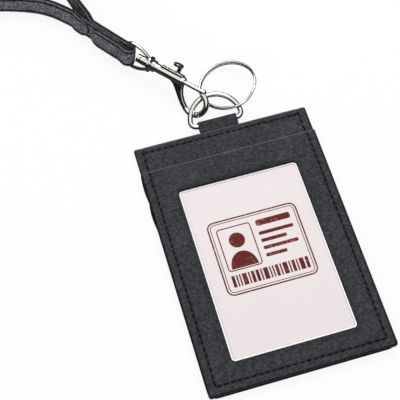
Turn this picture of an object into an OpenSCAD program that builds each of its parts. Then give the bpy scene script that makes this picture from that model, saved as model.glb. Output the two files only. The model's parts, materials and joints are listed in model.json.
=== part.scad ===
// Leather badge wallet with a windowed front, back card slots, a D-ring tab,
// a split ring, and a swivel bolt snap with a flat stitched neck strap.
// Origin: centre of the wallet's back face. +X right, +Y to the tab, +Z out of the window.

/* [Wallet] */
// Width of the wallet
body_w = 76; // [72:1:90]
// Height of the wallet
body_h = 112; // [106:1:125]
// Thickness of the front leather
front_t = 0.8; // [0.6:0.1:1.2]
// Thickness of the body and back leathers
panel_t = 0.55; // [0.45:0.05:0.8]
// Corner radius of the front, body and back leathers
corner_r = 1; // [0.5:0.25:3]
// Width of the glued and stitched hem
hem_w = 4.4; // [3.5:0.1:6]
// Distance from the wallet's top edge to the mouth of the front pocket
mouth_drop = 12.5; // [8:0.5:16]

/* [Window] */
// Width of the leather on each side of the window
window_side = 12.5; // [11.5:0.25:15]
// Height of the window
window_h = 76; // [70:1:82]
// Distance from the wallet's bottom edge to the window
window_lift = 11.1; // [8:0.1:14]
// Corner radius of the window
window_r = 1.5; // [0.5:0.25:4]
// Thickness of the clear film
film_t = 0.14; // [0.1:0.02:0.3]
// How far the film reaches under the leather round the window
film_lap = 3; // [2:0.5:5]

/* [Card] */
// Width of the identity card
card_w = 54; // [53:0.5:56]
// Height of the identity card
card_h = 85.6; // [84:0.2:87]
// Thickness of the identity card
card_t = 0.76; // [0.5:0.02:1]
// Corner radius of the identity card
card_r = 3.18; // [1:0.1:4]
// Free play on each face of the card in its pocket
card_play = 0.05; // [0.03:0.01:0.15]

/* [Back slots] */
// Thickness of the slot leathers on the back
slot_t = 0.55; // [0.45:0.05:0.8]
// Free depth of an empty slot, which is the thickness of its hem
slot_gap = 0.15; // [0.1:0.05:0.4]
// Distance from the wallet's top edge to the mouth of the upper slot
upper_drop = 12; // [8:0.5:18]
// Distance from the mouth of the upper slot to the mouth of the lower slot
slot_step = 13.6; // [10:0.2:20]
// Radius of the bottom corners of the slot leathers
slot_r = 3.5; // [1:0.5:6]

/* [Tab and D-ring] */
// Width of the leather tab
tab_w = 17; // [12:0.5:17]
// Thickness of the tab leather round the bar
tab_t = 0.7; // [0.5:0.05:1]
// Thickness of the tab's tail, skived to lie between the leathers
tail_t = 0.5; // [0.3:0.05:0.6]
// Length of the tail between the leathers
tail_len = 6; // [4:0.5:9]
// Distance from the wallet's top edge to the bar of the D-ring
bar_reach = 3.6; // [3:0.1:5]
// Wire diameter of the D-ring
d_wire = 2.2; // [1.8:0.1:2.6]
// Height of the D-ring between wire centres
d_height = 12.2; // [11:0.1:14]
// Radius of the D-ring's arc at the wire's centre
d_arc_r = 11.3; // [10.8:0.1:12]
// Radius of the D-ring's two corners at the wire's centre
d_corner_r = 2.4; // [1.8:0.1:2.6]
// Angle at which the D-ring rises from the tab
d_rise = 18; // [15:1:20]
// Radial clearance of the bar in the tab
bar_play = 0.05; // [0.02:0.01:0.1]

/* [Split ring] */
// Diameter of the split ring at the wire's centre
ring_d = 24.4; // [22:0.2:26]
// Wire thickness of the split ring
ring_wire = 1; // [0.8:0.05:1.2]

/* [Bolt snap] */
// Diameter of the snap's barrel
barrel_d = 4; // [3.6:0.1:4.6]
// Length of the snap from the swivel disc to the end of the barrel
barrel_end = 17.7; // [17:0.1:19]
// Diameter of the flange at the barrel's tail
flange_d = 5.2; // [4.6:0.1:6]
// Thickness of the flange
flange_t = 1.1; // [0.8:0.1:1.6]
// Diameter of the sliding bolt
bolt_d = 2; // [1.6:0.1:2.4]
// Radial clearance of the bolt in the barrel
bolt_play = 0.06; // [0.03:0.01:0.1]
// Travel of the bolt
bolt_travel = 6.5; // [5:0.1:6.8]
// Distance from the swivel disc to the hook's nose
nose_x = 26.3; // [25:0.1:28]
// Wire diameter of the hook
hook_wire = 2.4; // [2:0.1:2.8]
// Radius of the hook's curl at the wire's centre
curl_r = 5; // [4.9:0.1:5.6]
// Thickness of the web between barrel and curl
web_t = 2.2; // [1.8:0.1:2.6]
// Diameter of the thumb knob's head
knob_d = 4.6; // [4:0.1:5.6]
// Thickness of the thumb knob's head
knob_t = 1.5; // [1:0.1:2]
// Diameter of the thumb knob's stem
stem_d = 1.8; // [1.4:0.1:2]
// Height of the stem above the snap's axis
stem_h = 4.9; // [4.2:0.1:6]
// Wire thickness of the bolt's spring
spring_wire = 0.28; // [0.2:0.02:0.32]

/* [Swivel eye] */
// Diameter of the eye's disc
disc_d = 7.2; // [6:0.1:8]
// Thickness of the disc
disc_t = 0.8; // [0.6:0.1:1.2]
// Diameter of the boss behind the disc
boss_d = 4; // [3.6:0.1:4.4]
// Length of the boss behind the disc
boss_len = 4.2; // [3:0.1:4.6]
// Wire diameter of the eye
eye_wire = 1.5; // [1.2:0.1:1.8]
// Distance from the disc to the eye's bar
eye_reach = 11.6; // [11:0.1:13]
// Half the width of the eye at the wire's centre
eye_half = 6.6; // [6.4:0.1:7.4]
// Radius of the eye's two corners at the wire's centre
eye_corner_r = 2; // [1.5:0.1:2.2]
// Diameter of the swivel post
post_d = 2.4; // [2:0.1:2.6]
// Radial clearance of the post in the eye
post_play = 0.06; // [0.03:0.01:0.1]
// Diameter of the post's peened head
peen_d = 3.8; // [3.2:0.1:4.4]
// Thickness of the post's peened head
peen_t = 1.6; // [1:0.1:2]

/* [Neck strap] */
// Width of the strap
strap_w = 9; // [8:0.5:9.5]
// Thickness of the strap, two plies sewn together
strap_t = 2; // [1.6:0.1:2.2]
// Radius of the opening of the fold round the bar
fold_r = 1.3; // [1.1:0.1:1.6]
// Distance from the bar to the rounded end of the strap's tail
tail_end = 19.5; // [15:0.5:20]
// Distance from the bar to the end of the fold's far leg
leg_len = 20; // [18:0.5:24]
// Distance from the bar to the rounded end of the lapped ply
ply_end = 22; // [20:0.5:26]

/* [Coil] */
// Radius at which the wound strap turns back
coil_in_r = 42; // [38:0.5:50]
// Free gap between two turns of the coil
coil_gap = 0.7; // [0.6:0.1:1.5]
// Thickness of the band that ties the coil
band_t = 0.4; // [0.3:0.05:0.8]
// Width of the band that ties the coil
band_w = 8; // [5:0.5:12]

/* [Hidden] */
$fn = 48;

// One overrun for every through cut
cut = 1;
// A wire gets a hair thinner where it bends, and a bend runs a few degrees into its neighbours
bend_share = 0.97;
bend_lap = 3;

leather = "#45484c";
leather_dark = "#2f3236";
metal = "#c9ccce";

// The leathers lie on each other from the back, z = 0, to the front
z_upper = slot_t + slot_gap;
z_back = 2 * (slot_t + slot_gap);
z_body = z_back + panel_t;
z_pocket = z_body + panel_t;
pocket_d = card_t + film_t + 2 * card_play;
z_front = z_pocket + pocket_d;
top_y = body_h / 2;
bottom_y = -body_h / 2;
mouth_y = top_y - mouth_drop;
upper_y = top_y - upper_drop;
lower_y = upper_y - slot_step;
window_w = body_w - 2 * window_side;
window_y = bottom_y + window_lift + window_h / 2;
pocket_floor_y = bottom_y + hem_w + card_play;

// The D-ring hangs in the tab: its bar lies along X
bar_y = top_y + bar_reach;
bar_z = z_body;
d_shift_x = -0.1;
d_arc_v = d_height - d_arc_r;
d_corner_x = sqrt(pow(d_arc_r - d_corner_r, 2) - pow(d_corner_r - d_arc_v, 2));
d_corner_angle = atan2(d_corner_r - d_arc_v, d_corner_x);
tab_bore_r = d_wire / 2 + bar_play;
tab_outer_r = tab_bore_r + tab_t;

// A point of the D-ring's arc, where the snap and the split ring hang on it
function d_arc_point(angle) =
    let (u = d_arc_r * cos(angle), v = d_arc_v + d_arc_r * sin(angle))
    [d_shift_x + u, bar_y + v * cos(d_rise), bar_z + v * sin(d_rise)];

// The split ring lies over the D-ring's right side, its far edge near the floor
ring_seat_angle = 50;
ring_from_seat = [1.9, 6, -0.65];
ring_tilt = [-9, -11.3, 0];
ring_coil_gap = 0.06;
ring_step_angle = 50;
ring_start_angle = 20;

// The snap lies from its swivel disc, where its axis starts, down to the D-ring in its curl
snap_seat_angle = 126;
curl_from_seat = [-0.15, 0.1, -0.15];
snap_pitch = 2;
snap_heading = -49.3;
snap_roll = 43;
eye_roll = 76;
disc_gap = 1.1;
tail_x = disc_t / 2 + disc_gap;
barrel_x = tail_x + flange_t;
plug_len = 1.6;
knob_x = 13.4;
bolt_tail_x = 12.2;
nose_gap = 0.1;
nose_len = hook_wire / 2;
knob_offset = 1.1;
knob_dome = 0.4;
tenon_d = 1;
slot_play = 0.15;
lip_w = 3.2;
lip_h = 0.35;
lip_end = 1.2;
lip_len = 11;
nose_back = 0.3;
curl_lift = 1;
curl_at = [nose_x - nose_back, curl_r + curl_lift];
curl_from = -76;
curl_to = 130;
web_len = 9;
// Outline of the web, as shares of the way along and out from the barrel to the curl's foot
web_shares = [
    [0, 0], [0.08, 0.25], [0.24, 0.32], [0.37, 0.45], [0.51, 0.7], [0.69, 1.08], [0.92, 1.52],
    [1.13, 1.83], [1.215, 1.735], [1.155, 1.53], [0.976, 1.233], [0.846, 0.9], [0.764, 0.55],
    [0.736, 0.267], [0.732, 0]
];
spring_turns = 8;
spring_rings = 8;
spring_sides = 6;

// The eye stands almost upright, and the strap's fold is turned a little round its bar
arm_foot = 2.2;
arm_turn = -5;
fold_drop = -0.9;
ply_t = strap_t / 2;
ply_play = 0.05;
leg_in = ply_t / 2 + ply_play;
leg_out = leg_in + strap_t;
fold_squeeze_share = 0.9;
fold_out_r = fold_r + fold_squeeze_share * strap_t;
neck_x = 4.4;
ply_start = 5;
ply_meet = ply_end + strap_w / 2;
post_gap = 0.3;

// Route of the strap's far strand, from the fold's far leg to the coil:
// x, y, z of the middle of the strap, and its lean to the right of its way
route_a = [
    [-40.9, 123.5, 5.7, 12], [-42.5, 129.5, 5.4, 9], [-44.5, 136.5, 5.2, 6],
    [-46.8, 145, 5, 3], [-49.2, 154.5, 5, 0], [-51, 164.5, 5, 0], [-51.9, 175, 5, 0]
];
// Route of the strap's near strand, from the lapped ply to the coil
route_b = [
    [-46.3, 125.4, 5.7, 13], [-49.6, 129.4, 5.5, 13], [-54, 133.8, 5.3, 12], [-59.6, 137.7, 5.2, 10],
    [-65.8, 140.6, 5, 7], [-72.4, 142.8, 5, 4], [-79.5, 144.8, 5, 1], [-87, 147.6, 5, 0],
    [-93.6, 152.4, 5, 0], [-98, 159.6, 5, 0], [-100, 168.5, 5, 0], [-98.8, 178.6, 5, 0],
    [-94.4, 189, 5, 0], [-87, 199.4, 5, 0], [-77, 209, 5, 0], [-65.4, 217, 5, 0], [-53, 223.4, 5, 0]
];
tie_lift = 0.1;
coil_at = [-6, 186, strap_w / 2 + tie_lift + band_t];
strand_pitch = strap_t + coil_gap;
coil_angle = 270;
b_joins_at = 60;
coil_out_r = coil_in_r + 2 * strand_pitch * coil_angle / 360;
rings_per_turn = 24;
tie_step = 5.5;
tie_at = tie_step * 360 / rings_per_turn;
tie_play = 0.3;
edge_round = 0.35;

function unit(v) = v / norm(v);
function turn_x(p, a) = [p[0], p[1] * cos(a) - p[2] * sin(a), p[1] * sin(a) + p[2] * cos(a)];
function turn_y(p, a) = [p[0] * cos(a) + p[2] * sin(a), p[1], -p[0] * sin(a) + p[2] * cos(a)];
function turn_z(p, a) = [p[0] * cos(a) - p[1] * sin(a), p[0] * sin(a) + p[1] * cos(a), p[2]];

function snap_turn(p) = turn_z(turn_y(p, -snap_pitch), snap_heading);
snap_at = d_arc_point(snap_seat_angle) + curl_from_seat
    - snap_turn(turn_x([curl_at[0], curl_at[1], 0], 180 + snap_roll));

// A point of the strap's end: along the bundle away from the bar, and across its layers
function bundle_point(along, across) =
    let (turned = turn_y([-along, fold_drop, across], arm_turn),
         eye = [turned[0] - eye_reach, turned[1], turned[2]])
    snap_at + snap_turn(turn_x(eye, eye_roll));

far_leg_z = -(leg_in + strap_t / 2);
lap_z = ply_t / 2;
a_start = bundle_point(leg_len, far_leg_z);
a_straight = bundle_point(leg_len + strap_t, far_leg_z);
b_start = bundle_point(ply_meet, lap_z);
b_straight = bundle_point(ply_meet + strap_t, lap_z);
end_lean = 90 - eye_roll;

function coil_r(way) = coil_out_r - 2 * strand_pitch * way / 360;
function coil_point(r, way) = coil_at + [-r * cos(way), r * sin(way), 0];
function coil_count(sweep) = ceil(rings_per_turn * sweep / 360);
function winding(from, to, extra) =
    let (n = coil_count(abs(to - from)))
    [for (i = [0 : n]) let (way = from + (to - from) * i / n) coil_point(coil_r(way) + extra, way)];

// The strap winds in, turns back in an S through the middle, and winds out again
function half_circle(middle, turn, first, last) =
    let (r = coil_in_r / 2, n = rings_per_turn / 2)
    [for (i = [first : last]) let (way = coil_angle + turn * 180 * i / n)
        middle + [-r * cos(way), r * sin(way), 0]];
turn_back = concat(
    half_circle(coil_point(coil_in_r / 2, coil_angle), 1, 1, rings_per_turn / 2),
    half_circle(coil_point(-coil_in_r / 2, coil_angle), -1, 1, rings_per_turn / 2 - 1));

coil_path = concat(
    winding(0, coil_angle, 0),
    turn_back,
    winding(coil_angle + 180, b_joins_at, strand_pitch));

a_path = concat([a_start, a_straight],
    [for (p = route_a) [p[0], p[1], p[2]]], [coil_path[0]]);
a_lean = concat([end_lean, end_lean], [for (p = route_a) p[3]], [0]);
b_path = concat([b_start, b_straight],
    [for (p = route_b) [p[0], p[1], p[2]]], [coil_path[len(coil_path) - 1]]);
b_lean = concat([end_lean, end_lean], [for (p = route_b) p[3]], [0]);

// Directions at the ends of a path: along the bundle at its start, along the coil at its end
bundle_way = unit(bundle_point(leg_len + strap_t, 0) - bundle_point(leg_len, 0));
function coil_way(way) = [sin(way), cos(way), 0];

// Smooth curve through the points, by cubics whose slopes follow the neighbours
function slope(path, i, first, last) =
    i == 0 ? first * norm(path[1] - path[0])
    : i == len(path) - 1 ? last * norm(path[i] - path[i - 1])
    : let (a = norm(path[i] - path[i - 1]), b = norm(path[i + 1] - path[i]))
      unit((path[i] - path[i - 1]) * b / a + (path[i + 1] - path[i]) * a / b) * (a + b) / 2;

// One ring of the flat strap: its section has rounded edges
function strap_ring(c, way, lean) =
    let (right = unit(cross(way, [0, 0, 1])),
         up = unit(cross(right, way)),
         w = up * cos(lean) + right * sin(lean),
         t = cross(way, w),
         hw = strap_w / 2, ht = strap_t / 2, e = edge_round)
    [for (s = [[hw, ht - e], [hw - e, ht], [e - hw, ht], [-hw, ht - e],
               [-hw, e - ht], [e - hw, -ht], [hw - e, -ht], [hw, e - ht]]) c + w * s[0] + t * s[1]];

module skin(rings) {
    sides = len(rings[0]);
    last = len(rings) - 1;
    polyhedron(
        points = [for (r = rings) for (p = r) p],
        faces = concat(
            [[for (j = [0 : sides - 1]) j]],
            [for (i = [0 : last - 1]) for (j = [0 : sides - 1]) for (half = [0, 1])
                let (a = i * sides + j, b = i * sides + (j + 1) % sides)
                half == 0 ? [a, a + sides, b] : [b, a + sides, b + sides]],
            [[for (j = [0 : sides - 1]) last * sides + sides - 1 - j]]),
        convexity = 10);
}

function path_ways(path, first, last) =
    [for (i = [0 : len(path) - 1])
        i == 0 ? first : i == len(path) - 1 ? last : unit(slope(path, i, first, last))];

module flat_strap(path, leans, first, last) {
    ways = path_ways(path, first, last);
    skin([for (i = [0 : len(path) - 1]) strap_ring(path[i], ways[i], leans[i])]);
}

module rounded(w, h, r) {
    square([w - 2 * r, h], center = true);
    square([w, h - 2 * r], center = true);
    for (x = [-1, 1]) {
        for (y = [-1, 1]) {
            translate([x * (w / 2 - r), y * (h / 2 - r)]) circle(r);
        }
    }
}

// Glued hem along the two sides and the bottom of a pocket
module hem_shape(mouth) {
    side_h = mouth - bottom_y - corner_r;
    for (x = [-1, 1]) {
        translate([x * (body_w - hem_w) / 2, bottom_y + corner_r + side_h / 2])
            square([hem_w, side_h], center = true);
    }
    translate([0, bottom_y + hem_w / 2]) square([body_w - 2 * corner_r, hem_w], center = true);
}

module front_panel() {
    front_h = mouth_y - bottom_y;
    color(leather) {
        difference() {
            translate([0, bottom_y + front_h / 2, z_front]) linear_extrude(front_t)
                rounded(body_w, front_h, corner_r);
            translate([0, window_y, z_front - cut]) linear_extrude(front_t + 2 * cut)
                rounded(window_w, window_h, window_r);
        }
        translate([0, 0, z_pocket]) linear_extrude(pocket_d) hem_shape(mouth_y);
    }
}

module window_film() {
    color("white", 0.35) translate([0, window_y, z_front - film_t]) linear_extrude(film_t)
        rounded(window_w + 2 * film_lap, window_h + 2 * film_lap, window_r + film_lap);
}

module id_card() {
    color("#efe5e6") translate([0, pocket_floor_y + card_h / 2, z_pocket + card_play])
        linear_extrude(card_t) rounded(card_w, card_h, card_r);
}

// Room for the tab's tail between the two inner leathers
module tail_recess() {
    translate([0, top_y - tail_len / 2, z_body]) cube([tab_w, tail_len, tail_t], center = true);
}

module body_panel() {
    color(leather) difference() {
        translate([0, 0, z_body]) linear_extrude(panel_t) rounded(body_w, body_h, corner_r);
        tail_recess();
    }
}

module back_panel() {
    color(leather_dark) difference() {
        translate([0, 0, z_back]) linear_extrude(panel_t) rounded(body_w, body_h, corner_r);
        tail_recess();
    }
}

// Slot leather with rounded bottom corners, and the hem that holds it off the next leather
module slot_shape(mouth) {
    side_h = mouth - bottom_y - slot_r;
    translate([-body_w / 2, bottom_y + slot_r]) square([body_w, side_h]);
    translate([0, bottom_y + slot_r / 2]) square([body_w - 2 * slot_r, slot_r], center = true);
    for (x = [-1, 1]) {
        translate([x * (body_w / 2 - slot_r), bottom_y + slot_r]) circle(slot_r);
    }
}

module slot_leather(from_z, mouth) {
    color(leather_dark) {
        translate([0, 0, from_z]) linear_extrude(slot_t) slot_shape(mouth);
        translate([0, 0, from_z + slot_t]) linear_extrude(slot_gap) intersection() {
            slot_shape(mouth);
            hem_shape(mouth);
        }
    }
}

module card_slot_upper() {
    slot_leather(z_upper, upper_y);
}

module card_slot_lower() {
    slot_leather(0, lower_y);
}

// Leather loop round the D-ring's bar, with its two ends skived into one tail
module d_ring_tab() {
    loop_profile = [[0, tab_outer_r], [-bar_reach, tab_t], [-bar_reach, -tab_t], [0, -tab_outer_r]];
    color(leather) {
        translate([0, bar_y, bar_z]) rotate([90, 0, 90])
            linear_extrude(tab_w, center = true) difference() {
                union() {
                    circle(tab_outer_r);
                    polygon(loop_profile);
                }
                circle(tab_bore_r);
            }
        translate([0, top_y - tail_len / 2, bar_z]) cube([tab_w, tail_len, tail_t], center = true);
    }
}

module wire_arc(r, wire, from, to) {
    rotate([0, 0, from]) rotate_extrude(angle = to - from) translate([r, 0]) circle(d = wire);
}

// Tight bend of a wire between two thicker stretches, which it runs into
module wire_bend(r, wire, from, to) {
    wire_arc(r, wire * bend_share, from - bend_lap, to + bend_lap);
}

module d_ring() {
    color(metal) translate([d_shift_x, bar_y, bar_z]) rotate([d_rise, 0, 0]) {
        rotate([0, 90, 0]) cylinder(d = d_wire, h = 2 * d_corner_x, center = true);
        translate([0, d_arc_v]) wire_arc(d_arc_r, d_wire, d_corner_angle, 180 - d_corner_angle);
        translate([d_corner_x, d_corner_r]) wire_bend(d_corner_r, d_wire, -90, d_corner_angle);
        translate([-d_corner_x, d_corner_r]) wire_bend(d_corner_r, d_wire, 180 - d_corner_angle, 270);
    }
}

// Two turns of wire on each other, with the step where one turn passes to the other
ring_rise = ring_wire + ring_coil_gap;
function ring_height(a) =
    a < 360 - ring_step_angle ? 0
    : a > 360 ? ring_rise
    : ring_rise * (1 - cos(180 * (a - 360 + ring_step_angle) / ring_step_angle)) / 2;

module split_ring() {
    sweep = 720 - ring_step_angle - ring_start_angle;
    n = 76;
    sides = 8;
    color(metal) translate(d_arc_point(ring_seat_angle) + ring_from_seat) rotate(ring_tilt)
        translate([0, 0, -ring_rise / 2]) rotate([0, 0, -ring_start_angle])
            skin([for (i = [0 : n]) let (a = sweep * i / n)
                [for (j = [0 : sides - 1])
                    let (b = 360 * (j + 0.5) / sides,
                         r = ring_d / 2 + ring_wire / 2 * cos(b))
                    [r * cos(a), r * sin(a), ring_height(a) - ring_wire / 2 * sin(b)]]]);
}

module snap_frame() {
    translate(snap_at) rotate([0, -snap_pitch, snap_heading]) children();
}

module hook_plane() {
    snap_frame() rotate([180 + snap_roll, 0, 0]) children();
}

module along(x, r, h) {
    translate([x, 0, 0]) rotate([0, 90, 0]) cylinder(r = r, h = h);
}

// The web leaves the barrel in a sweep and runs into the curl
module web_outline() {
    from_x = barrel_end - web_len;
    foot = curl_at - [curl_r, 0];
    polygon([for (p = web_shares) [from_x + p[0] * (foot[0] - from_x), p[1] * foot[1]]]);
}

module snap_body() {
    barrel_r = barrel_d / 2;
    bore_r = bolt_d / 2 + bolt_play;
    slot_w = stem_d + 2 * slot_play;
    slot_from = knob_x - bolt_travel - slot_w / 2;
    color(metal) hook_plane() difference() {
        union() {
            along(tail_x, flange_d / 2, flange_t);
            along(barrel_x, barrel_r, barrel_end - barrel_x);
            translate([barrel_end - lip_len - lip_end, -barrel_r - lip_h, -lip_w / 2])
                cube([lip_len, barrel_r + lip_h, lip_w]);
            translate([0, 0, -web_t / 2]) linear_extrude(web_t) web_outline();
            translate(curl_at) wire_arc(curl_r, hook_wire, curl_from, curl_to);
            along(nose_x, hook_wire / 2, nose_len);
            translate([nose_x + nose_len, 0, 0]) sphere(d = hook_wire);
        }
        along(tail_x - cut, bore_r, barrel_end - tail_x + 2 * cut);
        translate([slot_from, -barrel_r - lip_h - cut, -slot_w / 2])
            cube([bolt_travel + slot_w, barrel_r + lip_h + cut, slot_w]);
    }
}

module snap_bolt() {
    color(metal) hook_plane() difference() {
        along(bolt_tail_x, bolt_d / 2, nose_x - nose_gap - bolt_tail_x);
        translate([knob_x, bolt_d / 2, 0]) rotate([90, 0, 0]) cylinder(d = tenon_d, h = bolt_d + cut);
    }
}

// The knob's pin is set in the bolt, and its head, a shallow dome, hangs over to the tail
module snap_knob() {
    dome_r = (knob_d * knob_d / 4 + knob_dome * knob_dome) / (2 * knob_dome);
    color(metal) hook_plane() translate([knob_x, 0, 0]) rotate([90, 0, 0]) {
        cylinder(d = tenon_d, h = bolt_d);
        translate([0, 0, bolt_d / 2 + bolt_play])
            cylinder(d = stem_d, h = stem_h - bolt_d / 2 - bolt_play);
        translate([-knob_offset, 0, stem_h]) intersection() {
            cylinder(d = knob_d, h = knob_t);
            translate([0, 0, knob_t - dome_r]) sphere(dome_r);
        }
    }
}

module snap_spring() {
    from = tail_x + plug_len + spring_wire;
    run = bolt_tail_x - from - spring_wire;
    r = bolt_d / 2 - spring_wire / 2;
    n = spring_turns * spring_rings;
    color(metal) hook_plane()
        skin([for (i = [0 : n]) let (a = 360 * i / spring_rings)
            [for (j = [0 : spring_sides - 1])
                let (b = 360 * j / spring_sides, out = r + spring_wire / 2 * cos(b))
                [from + run * i / n - spring_wire / 2 * sin(b), out * cos(a), out * sin(a)]]]);
}

module swivel_post() {
    head_x = disc_t / 2 + boss_len + post_gap;
    color(metal) snap_frame() {
        along(-head_x, post_d / 2, head_x + tail_x);
        along(-head_x - peen_t, peen_d / 2, peen_t);
        along(tail_x, bolt_d / 2, plug_len);
    }
}

module swivel_eye() {
    straight = eye_half - eye_corner_r;
    arm_x = eye_reach - eye_corner_r;
    rise = eye_half - arm_foot;
    arm_r = (arm_x * arm_x + rise * rise) / (2 * rise);
    arm_angle = asin(arm_x / arm_r);
    color(metal) snap_frame() rotate([eye_roll, 0, 0]) difference() {
        union() {
            along(-disc_t / 2, disc_d / 2, disc_t);
            along(-disc_t / 2 - boss_len, boss_d / 2, boss_len + disc_t / 2);
            translate([-eye_reach, 0, 0]) rotate([90, 0, 0])
                cylinder(d = eye_wire, h = 2 * straight, center = true);
            for (side = [0, 1]) {
                mirror([0, side, 0]) {
                    translate([-arm_x, straight]) wire_bend(eye_corner_r, eye_wire, 90, 180);
                    translate([-arm_x, eye_half - arm_r])
                        wire_arc(arm_r, eye_wire, 90 - arm_angle, 90);
                }
            }
        }
        along(-disc_t - boss_len - cut, post_d / 2 + post_play, boss_len + 2 * disc_t + 2 * cut);
    }
}

// Frame of the strap's end: Y along the eye's bar, -X along the bundle
module bundle_frame() {
    snap_frame() rotate([eye_roll, 0, 0]) translate([-eye_reach, 0, 0]) rotate([0, arm_turn, 0])
        translate([0, fold_drop, 0]) children();
}

// Leg of the fold, or a ply: a flat run from the bar's side to the far side
module leg(from, to, inner, t) {
    translate([-to, -strap_w / 2, inner]) cube([to - from, strap_w, t]);
}

module strap_end_fold() {
    color(leather_dark) bundle_frame() {
        leg(neck_x, leg_len, -leg_out, strap_t);
        leg(neck_x, tail_end - strap_w / 2, leg_in, strap_t);
        translate([strap_w / 2 - tail_end, 0, leg_in]) cylinder(d = strap_w, h = strap_t);
        rotate([90, 0, 0]) linear_extrude(strap_w, center = true) difference() {
            union() {
                circle(fold_out_r);
                polygon([[0, fold_out_r], [-neck_x, leg_out], [-neck_x, -leg_out], [0, -fold_out_r]]);
            }
            circle(fold_r);
            polygon([[0, fold_r], [-neck_x - cut, leg_in], [-neck_x - cut, -leg_in], [0, -fold_r]]);
        }
    }
}

// The other end of the strap: one ply is sewn between the legs, the other laps and ends rounded
module strap_end_ply() {
    color(leather_dark) bundle_frame() {
        leg(ply_start, ply_meet, -ply_t / 2, ply_t);
        translate([-ply_meet, 0, ply_t / 2]) linear_extrude(ply_t) intersection() {
            circle(d = strap_w);
            translate([0, -strap_w / 2]) square([strap_w / 2, strap_w]);
        }
    }
}

module strap_strand_a() {
    color(leather_dark) flat_strap(a_path, a_lean, bundle_way, coil_way(0));
}

module strap_strand_b() {
    color(leather_dark) flat_strap(b_path, b_lean, bundle_way, coil_way(b_joins_at));
}

module strap_coil() {
    color(leather_dark)
        flat_strap(coil_path, [for (p = coil_path) 0], coil_way(0), -coil_way(b_joins_at));
}

// Band round the turns of the coil that pass each other, at the middle of their straight steps
module coil_tie() {
    step_share = cos(180 / rings_per_turn);
    low_r = (coil_r(tie_at + 360) + strand_pitch) * step_share - strap_t / 2 - tie_play;
    high_r = (coil_r(tie_at) + strand_pitch) * step_share + strap_t / 2 + tie_play;
    in_w = high_r - low_r;
    in_h = strap_w + 2 * tie_lift;
    color("#8a8d90") translate(coil_at) rotate([0, 0, -tie_at]) translate([-(low_r + high_r) / 2, 0, 0])
        rotate([90, 0, 0]) linear_extrude(band_w, center = true) difference() {
            square([in_w + 2 * band_t, in_h + 2 * band_t], center = true);
            square([in_w, in_h], center = true);
        }
}

// Length of a path and the least gap between turns of the coil, printed for the report
function path_len(path, i = 1) =
    i >= len(path) ? 0 : norm(path[i] - path[i - 1]) + path_len(path, i + 1);
coil_last = len(coil_path) - 1;
coil_near = min([for (i = [0 : coil_last]) for (j = [i + rings_per_turn / 2 : 1 : coil_last])
    norm(coil_path[i] - coil_path[j])]) - strap_t;
echo(length_a = path_len(a_path), length_b = path_len(b_path), length_coil = path_len(coil_path));
echo(rings = len(a_path) + len(b_path) + len(coil_path), least_gap_between_points = coil_near);
echo(a_start = a_start, b_start = b_start, bundle_way = bundle_way, snap_at = snap_at);

front_panel();
window_film();
id_card();
body_panel();
back_panel();
card_slot_upper();
card_slot_lower();
d_ring_tab();
d_ring();
split_ring();
snap_body();
snap_bolt();
snap_knob();
snap_spring();
swivel_post();
swivel_eye();
strap_end_fold();
strap_end_ply();
strap_strand_a();
strap_strand_b();
strap_coil();
coil_tie();
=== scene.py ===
import json
import math

import bmesh
import bpy
from mathutils import Matrix, Vector, noise


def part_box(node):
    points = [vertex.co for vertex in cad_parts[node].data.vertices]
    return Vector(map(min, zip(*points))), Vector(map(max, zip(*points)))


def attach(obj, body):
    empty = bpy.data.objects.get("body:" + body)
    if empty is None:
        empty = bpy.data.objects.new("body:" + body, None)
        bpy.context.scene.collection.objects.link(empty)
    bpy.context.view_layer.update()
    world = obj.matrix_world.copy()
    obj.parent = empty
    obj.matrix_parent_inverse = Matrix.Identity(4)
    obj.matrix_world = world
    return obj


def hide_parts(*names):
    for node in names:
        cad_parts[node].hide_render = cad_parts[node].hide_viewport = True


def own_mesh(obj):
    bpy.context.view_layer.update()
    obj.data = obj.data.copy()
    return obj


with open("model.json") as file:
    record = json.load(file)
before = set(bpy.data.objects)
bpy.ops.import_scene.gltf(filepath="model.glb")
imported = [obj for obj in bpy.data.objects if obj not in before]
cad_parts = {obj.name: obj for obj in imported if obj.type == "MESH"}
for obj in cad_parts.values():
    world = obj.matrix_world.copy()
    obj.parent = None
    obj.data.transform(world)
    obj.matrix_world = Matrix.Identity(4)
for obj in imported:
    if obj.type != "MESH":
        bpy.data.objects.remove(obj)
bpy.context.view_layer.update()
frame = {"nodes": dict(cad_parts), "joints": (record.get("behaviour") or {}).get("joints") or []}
scene = bpy.context.scene
joints = {j["name"]: j for j in frame["joints"]}

milli = 0.001
mergeDist = 1e-7
sameLevel = 1e-6
touching = 1e-5
squareAngle = 1.2
up = Vector((0, 0, 1))


# Small helpers: sizes are written in millimetres, and the functions turn them into metres
def mm(*values):
    return Vector([v * milli for v in values])


def smoothStep(t):
    t = max(0.0, min(1.0, t))
    return t * t * (3 - 2 * t)


def addObject(name, mesh, *materials):
    for material in materials:
        mesh.materials.append(material)
    obj = bpy.data.objects.new(name, mesh)
    scene.collection.objects.link(obj)
    return obj


def makePiece(bm, name, *materials, sharpAngle=40, turnOut=True):
    if turnOut:
        bmesh.ops.recalc_face_normals(bm, faces=bm.faces)
    mesh = bpy.data.meshes.new(name)
    bm.to_mesh(mesh)
    bm.free()
    mesh.shade_smooth()
    mesh.set_sharp_from_angle(angle=math.radians(sharpAngle))
    return addObject(name, mesh, *materials)


def turnBy(degrees, axis, size=4):
    return Matrix.Rotation(math.radians(degrees), size, axis)


# Rounds edges or corners, this far in and in so many steps
def roundOff(bm, parts, offset, segments, kind="EDGES"):
    return bmesh.ops.bevel(bm, geom=parts, offset=offset * milli, offset_type="OFFSET", segments=segments,
                           profile=0.5, affect=kind, material=-1)


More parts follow.
